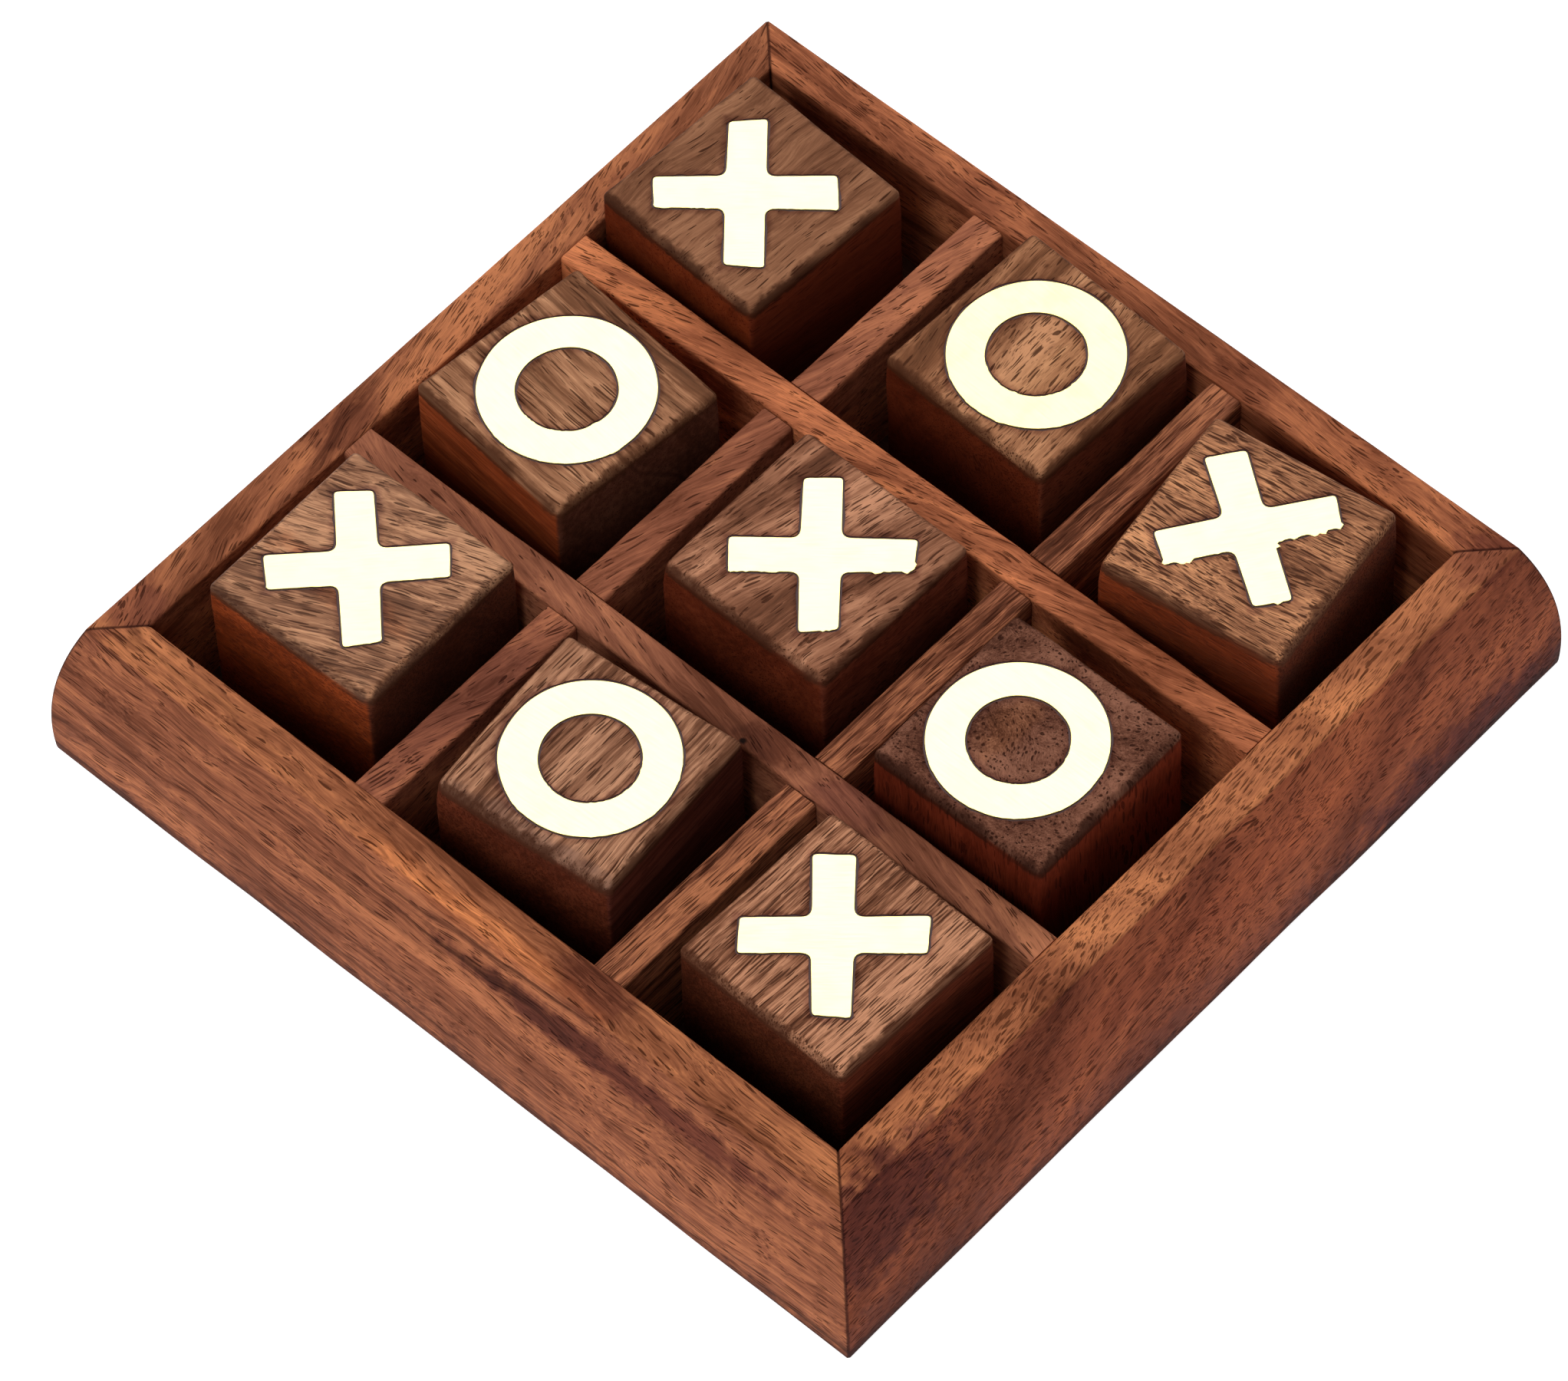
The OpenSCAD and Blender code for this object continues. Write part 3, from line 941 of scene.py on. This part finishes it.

# Each rail's outside tint is painted shade on its outer side, darkest on the right rail.
rail("front_rail", 3, 1, wood_space(LENGTHWISE, (0, 0, 3), (300, 20, 8)), rgb(164, 99, 66), veins=0.8,
     outside=(0.8, 0.77, 0.85), bands=1.0, drift=1.1, streaks=0.8, streak_width=0.5, fibres=0.6,
     pore_share=0.45,
     knots=[((59, 37, 12), 7.0, 0.6), ((61, 4, 6), 5.0, 0.4)],
     stains=[FOOT_SHADOW,
             ((61, 27, 20.5), (5, 34, 2.6), (0.42, 0.34, 0.42), 1.0),
             on_top(19, 7, (0.5, 0.42, 0.48), 0.9),
             on_top(-59, 5, PURPLE, 0.6),
             # Painted highlight along the outer arris of the front rail's top.
             ((RIM - 0.6, 3, TOP), (2.2, 20, 2.0), (1.5, 1.45, 1.25), 1.0)])
rail("right_rail", 0, 2, wood_space(LENGTHWISE, (0, 3, -7), (900, -40, 30)), rgb(176, 107, 71), run_out=-0.6,
     outside=(0.62, 0.47, 0.5), band=12.0, bands=1.4, drift=0.5, streaks=0.35, pore_long=3.2, pore_gap=0.3,
     pores=0.75, pore_share=0.75, ticks=0.6,
     stains=[FOOT_SHADOW,
             # Darker towards the bottom of the outer side, all along the rail.
             ((OUTER, 0, 2), (8, 900, 7), (0.75, 0.74, 0.84), 1.0),
             ((61, -58, 21), (6, 20, 12), (0.42, 0.36, 0.5), 1.0),
             ((62, 46, 3), (6, 26, 8), (0.5, 0.42, 0.58), 1.0),
             ((61, 5, 17), (5, 40, 5), (1.2, 1.15, 1.1), 0.8),
             on_top(-54, 4, BROWN, 0.8),
             on_top(-21, 5, BROWN, 0.7),
             on_top(23, 4, BROWN, 0.7),
             on_top(56, 6, PURPLE, 0.7)])
rail("back_rail", 1, 3, wood_space(LENGTHWISE, (0, 0, 3), (1500, 60, -20)), rgb(170, 100, 67),
     outside=(0.7, 0.64, 0.7),
     stains=[FOOT_SHADOW, on_top(-58, 6, PURPLE, 0.8), on_top(-20, 5, BROWN, 0.6), on_top(22, 5, BROWN, 0.6)])
rail("left_rail", 2, 4, wood_space(LENGTHWISE, (0, 0, -14), (2200, -70, 45)), rgb(155, 93, 63),
     outside=(0.75, 0.7, 0.75), pores=0.75,
     stains=[FOOT_SHADOW, on_top(18, 6, BROWN, 0.9), on_top(53, 5, PURPLE, 0.7), on_top(-27, 4, BROWN, 0.4)])

divider("long_divider_front", "X", -DIVIDER_AT, TOP, True, 5, wood_space(ALONG, (0, 0, 14), (40, 9, 3)),
        rgb(152, 93, 68), bands=0.8, drift=0.9, pore_share=0.35, ticks=0.3,
        stains=[((12, 0, TOP), (5, 3, 3), DIRT, 0.9),
                ((24, 0, TOP), (6, 4, 3), PURPLE, 0.6),
                ((9, -1.5, TOP), (0.5, 0.5, 2), (0.1, 0.1, 0.1), 1.0)])
divider("long_divider_back", "X", DIVIDER_AT, TOP, True, 6, wood_space(ALONG, (0, 0, -14), (440, 30, 3)),
        rgb(184, 108, 72))
divider("cross_divider_left", "Y", -DIVIDER_AT, CROSS_TOP, False, 7,
        wood_space(ALONG, (0, 0, 16), (840, 9, 3)), rgb(152, 91, 66), pore_share=0.4, drift=1.1,
        stains=[((-40, 0, TOP), (18, 5, 5), (0.7, 0.66, 0.72), 1.0)])
divider("cross_divider_right", "Y", DIVIDER_AT, CROSS_TOP, False, 8,
        wood_space(ALONG, (0, 0, 2), (140, 9, 3)), rgb(146, 88, 62), wander=0.5, streaks=1.6, fibres=1.4)

# Each block's side tint is the oil's colour with painted shade, and its right tint is painted shade on its
# right sides.
block("cross_block_1", 20, 21, rgb(161, 111, 80), wander=0.9, rough=0.5, shine=0.1, pore_gap=0.3,
      pore_share=0.7, streaks=1.4, streak_width=0.6, fibres=0.9,
      side_shade_tint=(0.68, 0.27, 0.12), right_shade_tint=(0.4, 0.58, 1.2),
      stains=[((0, -3, 12), (12, 3, 4), (1.1, 0.9, 0.75), 1.0)])
block("cross_block_2", 90, 22, rgb(136, 90, 64), bands=0.8, drift=0.8, pore_share=0.3,
      right_shade_tint=(0.9, 0.95, 1.3))
block("cross_block_3", 78, 23, rgb(158, 106, 79), rub_side=(0, -1, 0.8), rub_more=0.8, burr=0.4,
      pore_gap=0.3, pore_share=0.65, pore_long=4.0, streaks=1.1,
      side_shade_tint=(0.42, 0.18, 0.12), right_shade_tint=(1.2, 1.5, 2.0))
block("cross_block_4", 90, 24, rgb(160, 107, 79), wander=0.4, streaks=1.6, streak_width=0.6, fibres=1.2,
      pore_share=0.75, pore_gap=0.28, side_shade_tint=(0.22, 0.12, 0.09), right_shade_tint=(1.35, 1.2, 1.3))
block("cross_block_5", 0, 25, rgb(181, 122, 85), rub_side=(0, -1, 0.8), rub_more=0.7, burr=0.8, wander=1.2,
      relief=0.4, light=(1.55, 1.64, 1.6), fibres=1.2, shine=0.1, pore_share=0.95, pore_gap=0.36,
      pore_long=4.5, pores=0.95, ticks=0.7, side_shade_tint=(0.58, 0.26, 0.15), right_shade_tint=(0.44, 0.48, 0.6))
block("ring_block_1", 88, 26, rgb(156, 107, 80), rub_side=(0, -1, 0.8), rub_more=0.8, wander=0.6, streaks=1.6,
      streak_width=0.7, pore_gap=0.27, side_shade_tint=(0.34, 0.16, 0.12), right_shade_tint=(1.0, 1.2, 1.8),
      stains=[((0, -12, 12), (16, 2.2, 4), (0.6, 0.62, 0.7), 1.0), ((-9, 0, 12), (2.5, 9, 4), BROWN, 0.9)])
block("ring_block_2", 0, 27, rgb(167, 116, 84), veins=0.8, drift=1.0, wander=0.8, streaks=1.2, pore_long=7.0,
      pore_gap=0.3, side_shade_tint=(0.85, 0.39, 0.22), right_shade_tint=(0.36, 0.6, 1.2))
block("ring_block_3", 96, 28, rgb(164, 111, 78), metal=YELLOW_BRASS, pore_gap=0.28, pore_long=3.6,
      pore_share=0.65, side_shade_tint=(0.3, 0.12, 0.08), right_shade_tint=(1.25, 1.7, 2.4),
      stains=[((3, 0, 12), (3, 9, 4), BRIGHT, 0.4)])
block("ring_block_4", 0, 29, rgb(115, 72, 55), end_up=True, pore_gap=0.5, bands=0.6, fibres=1.0, ticks=0.6,
      side_shade_tint=(0.85, 0.33, 0.21), stains=[((-3, 0, 12), (3, 6, 4), (1.3, 1.25, 1.0), 0.7)])

for node_name, material in (("base_panel", base_panel_wood()), ("base_pins", pin_steel())):
    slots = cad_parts[node_name].material_slots
    slots[0].link = "OBJECT"
    slots[0].material = material


# ---- Floor, light and camera ----

def studio():
    """A plain pale floor, soft light from above and behind that the brass mirrors, and a softer one in front.
    Low screens all round are there only for the brass to mirror when it is seen from lower down."""
    bm = bmesh.new()
    reach = 3000
    bm.faces.new([bm.verts.new((x * reach, y * reach, 0)) for x, y in ((-1, -1), (1, -1), (1, 1), (-1, 1))])
    floor = as_object("floor", bm)
    floor.data.transform(Matrix.Scale(MM, 4))
    n = Nodes("floor")
    mottle = n.noise(n.add("TexCoord").outputs["Object"], scale=40.0)[0]
    shade = n.mix(mottle, (0.38, 0.38, 0.38, 1), (0.42, 0.42, 0.42, 1))
    shader = n.add("BsdfPrincipled", {"Base Color": shade, "Roughness": 0.9, "Emission Color": (1, 1, 1, 1),
                                      "Emission Strength": 0.95, "Specular IOR Level": 0.0})
    floor.data.materials.append(n.finish(shader))

    world = bpy.data.worlds.new("studio")
    world.use_nodes = True
    world.node_tree.nodes["Background"].inputs["Color"].default_value = (1.0, 0.99, 0.98, 1)
    world.node_tree.nodes["Background"].inputs["Strength"].default_value = 0.2
    bpy.context.scene.world = world
    soft_light("back softbox", 225, 58, 0.85, (0.75, 0.75), 2.7)
    soft_light("front softbox", 0, 40, 0.9, (0.7, 0.7), 2.2)
    for azimuth in (45, 135, 225, 315):
        screen = soft_light(f"screen {azimuth}", azimuth, 18, 0.9, (1.8, 0.6), 0.95)
        screen.visible_diffuse = False
        screen.visible_camera = False


def direction(azimuth, elevation):
    """Unit vector from the tray towards a place at an azimuth and elevation, as the views count them."""
    a, e = math.radians(azimuth), math.radians(elevation)
    return Vector((math.sin(a) * math.cos(e), -math.cos(a) * math.cos(e), math.sin(e)))


def soft_light(name, azimuth, elevation, distance, size, radiance):
    """A softbox that faces the tray, size being its width and height. Its power is worked out from how bright
    its face is."""
    data = bpy.data.lights.new(name, "AREA")
    data.shape = "RECTANGLE"
    data.size, data.size_y = size
    data.energy = radiance * math.pi * size[0] * size[1]
    lamp = bpy.data.objects.new(name, data)
    bpy.context.scene.collection.objects.link(lamp)
    away = direction(azimuth, elevation)
    lamp.location = away * distance
    lamp.rotation_euler = away.to_track_quat("Z", "Y").to_euler()
    return lamp


def camera():
    """A long lens looking down at the front corner of the tray, as in a catalogue picture."""
    azimuth, elevation, roll = 44.4, 56.4, -2.75
    distance = 1080
    target = Vector((0.125 * OUTER, -0.19 * OUTER, TOP))
    data = bpy.data.cameras.new("camera")
    data.sensor_fit = "HORIZONTAL"
    data.sensor_width = 36.0
    data.lens = 213.8
    data.clip_start = 0.05
    data.clip_end = 20
    made = bpy.data.objects.new("camera", data)
    bpy.context.scene.collection.objects.link(made)
    away = direction(azimuth, elevation)
    made.location = (target + away * distance) * MM
    upright = away.to_track_quat("Z", "Y").to_matrix().to_4x4()
    made.rotation_euler = (upright @ Matrix.Rotation(math.radians(roll), 4, "Z")).to_euler()
    bpy.context.scene.camera = made


studio()
camera()
bpy.context.scene.view_settings.view_transform = "Standard"
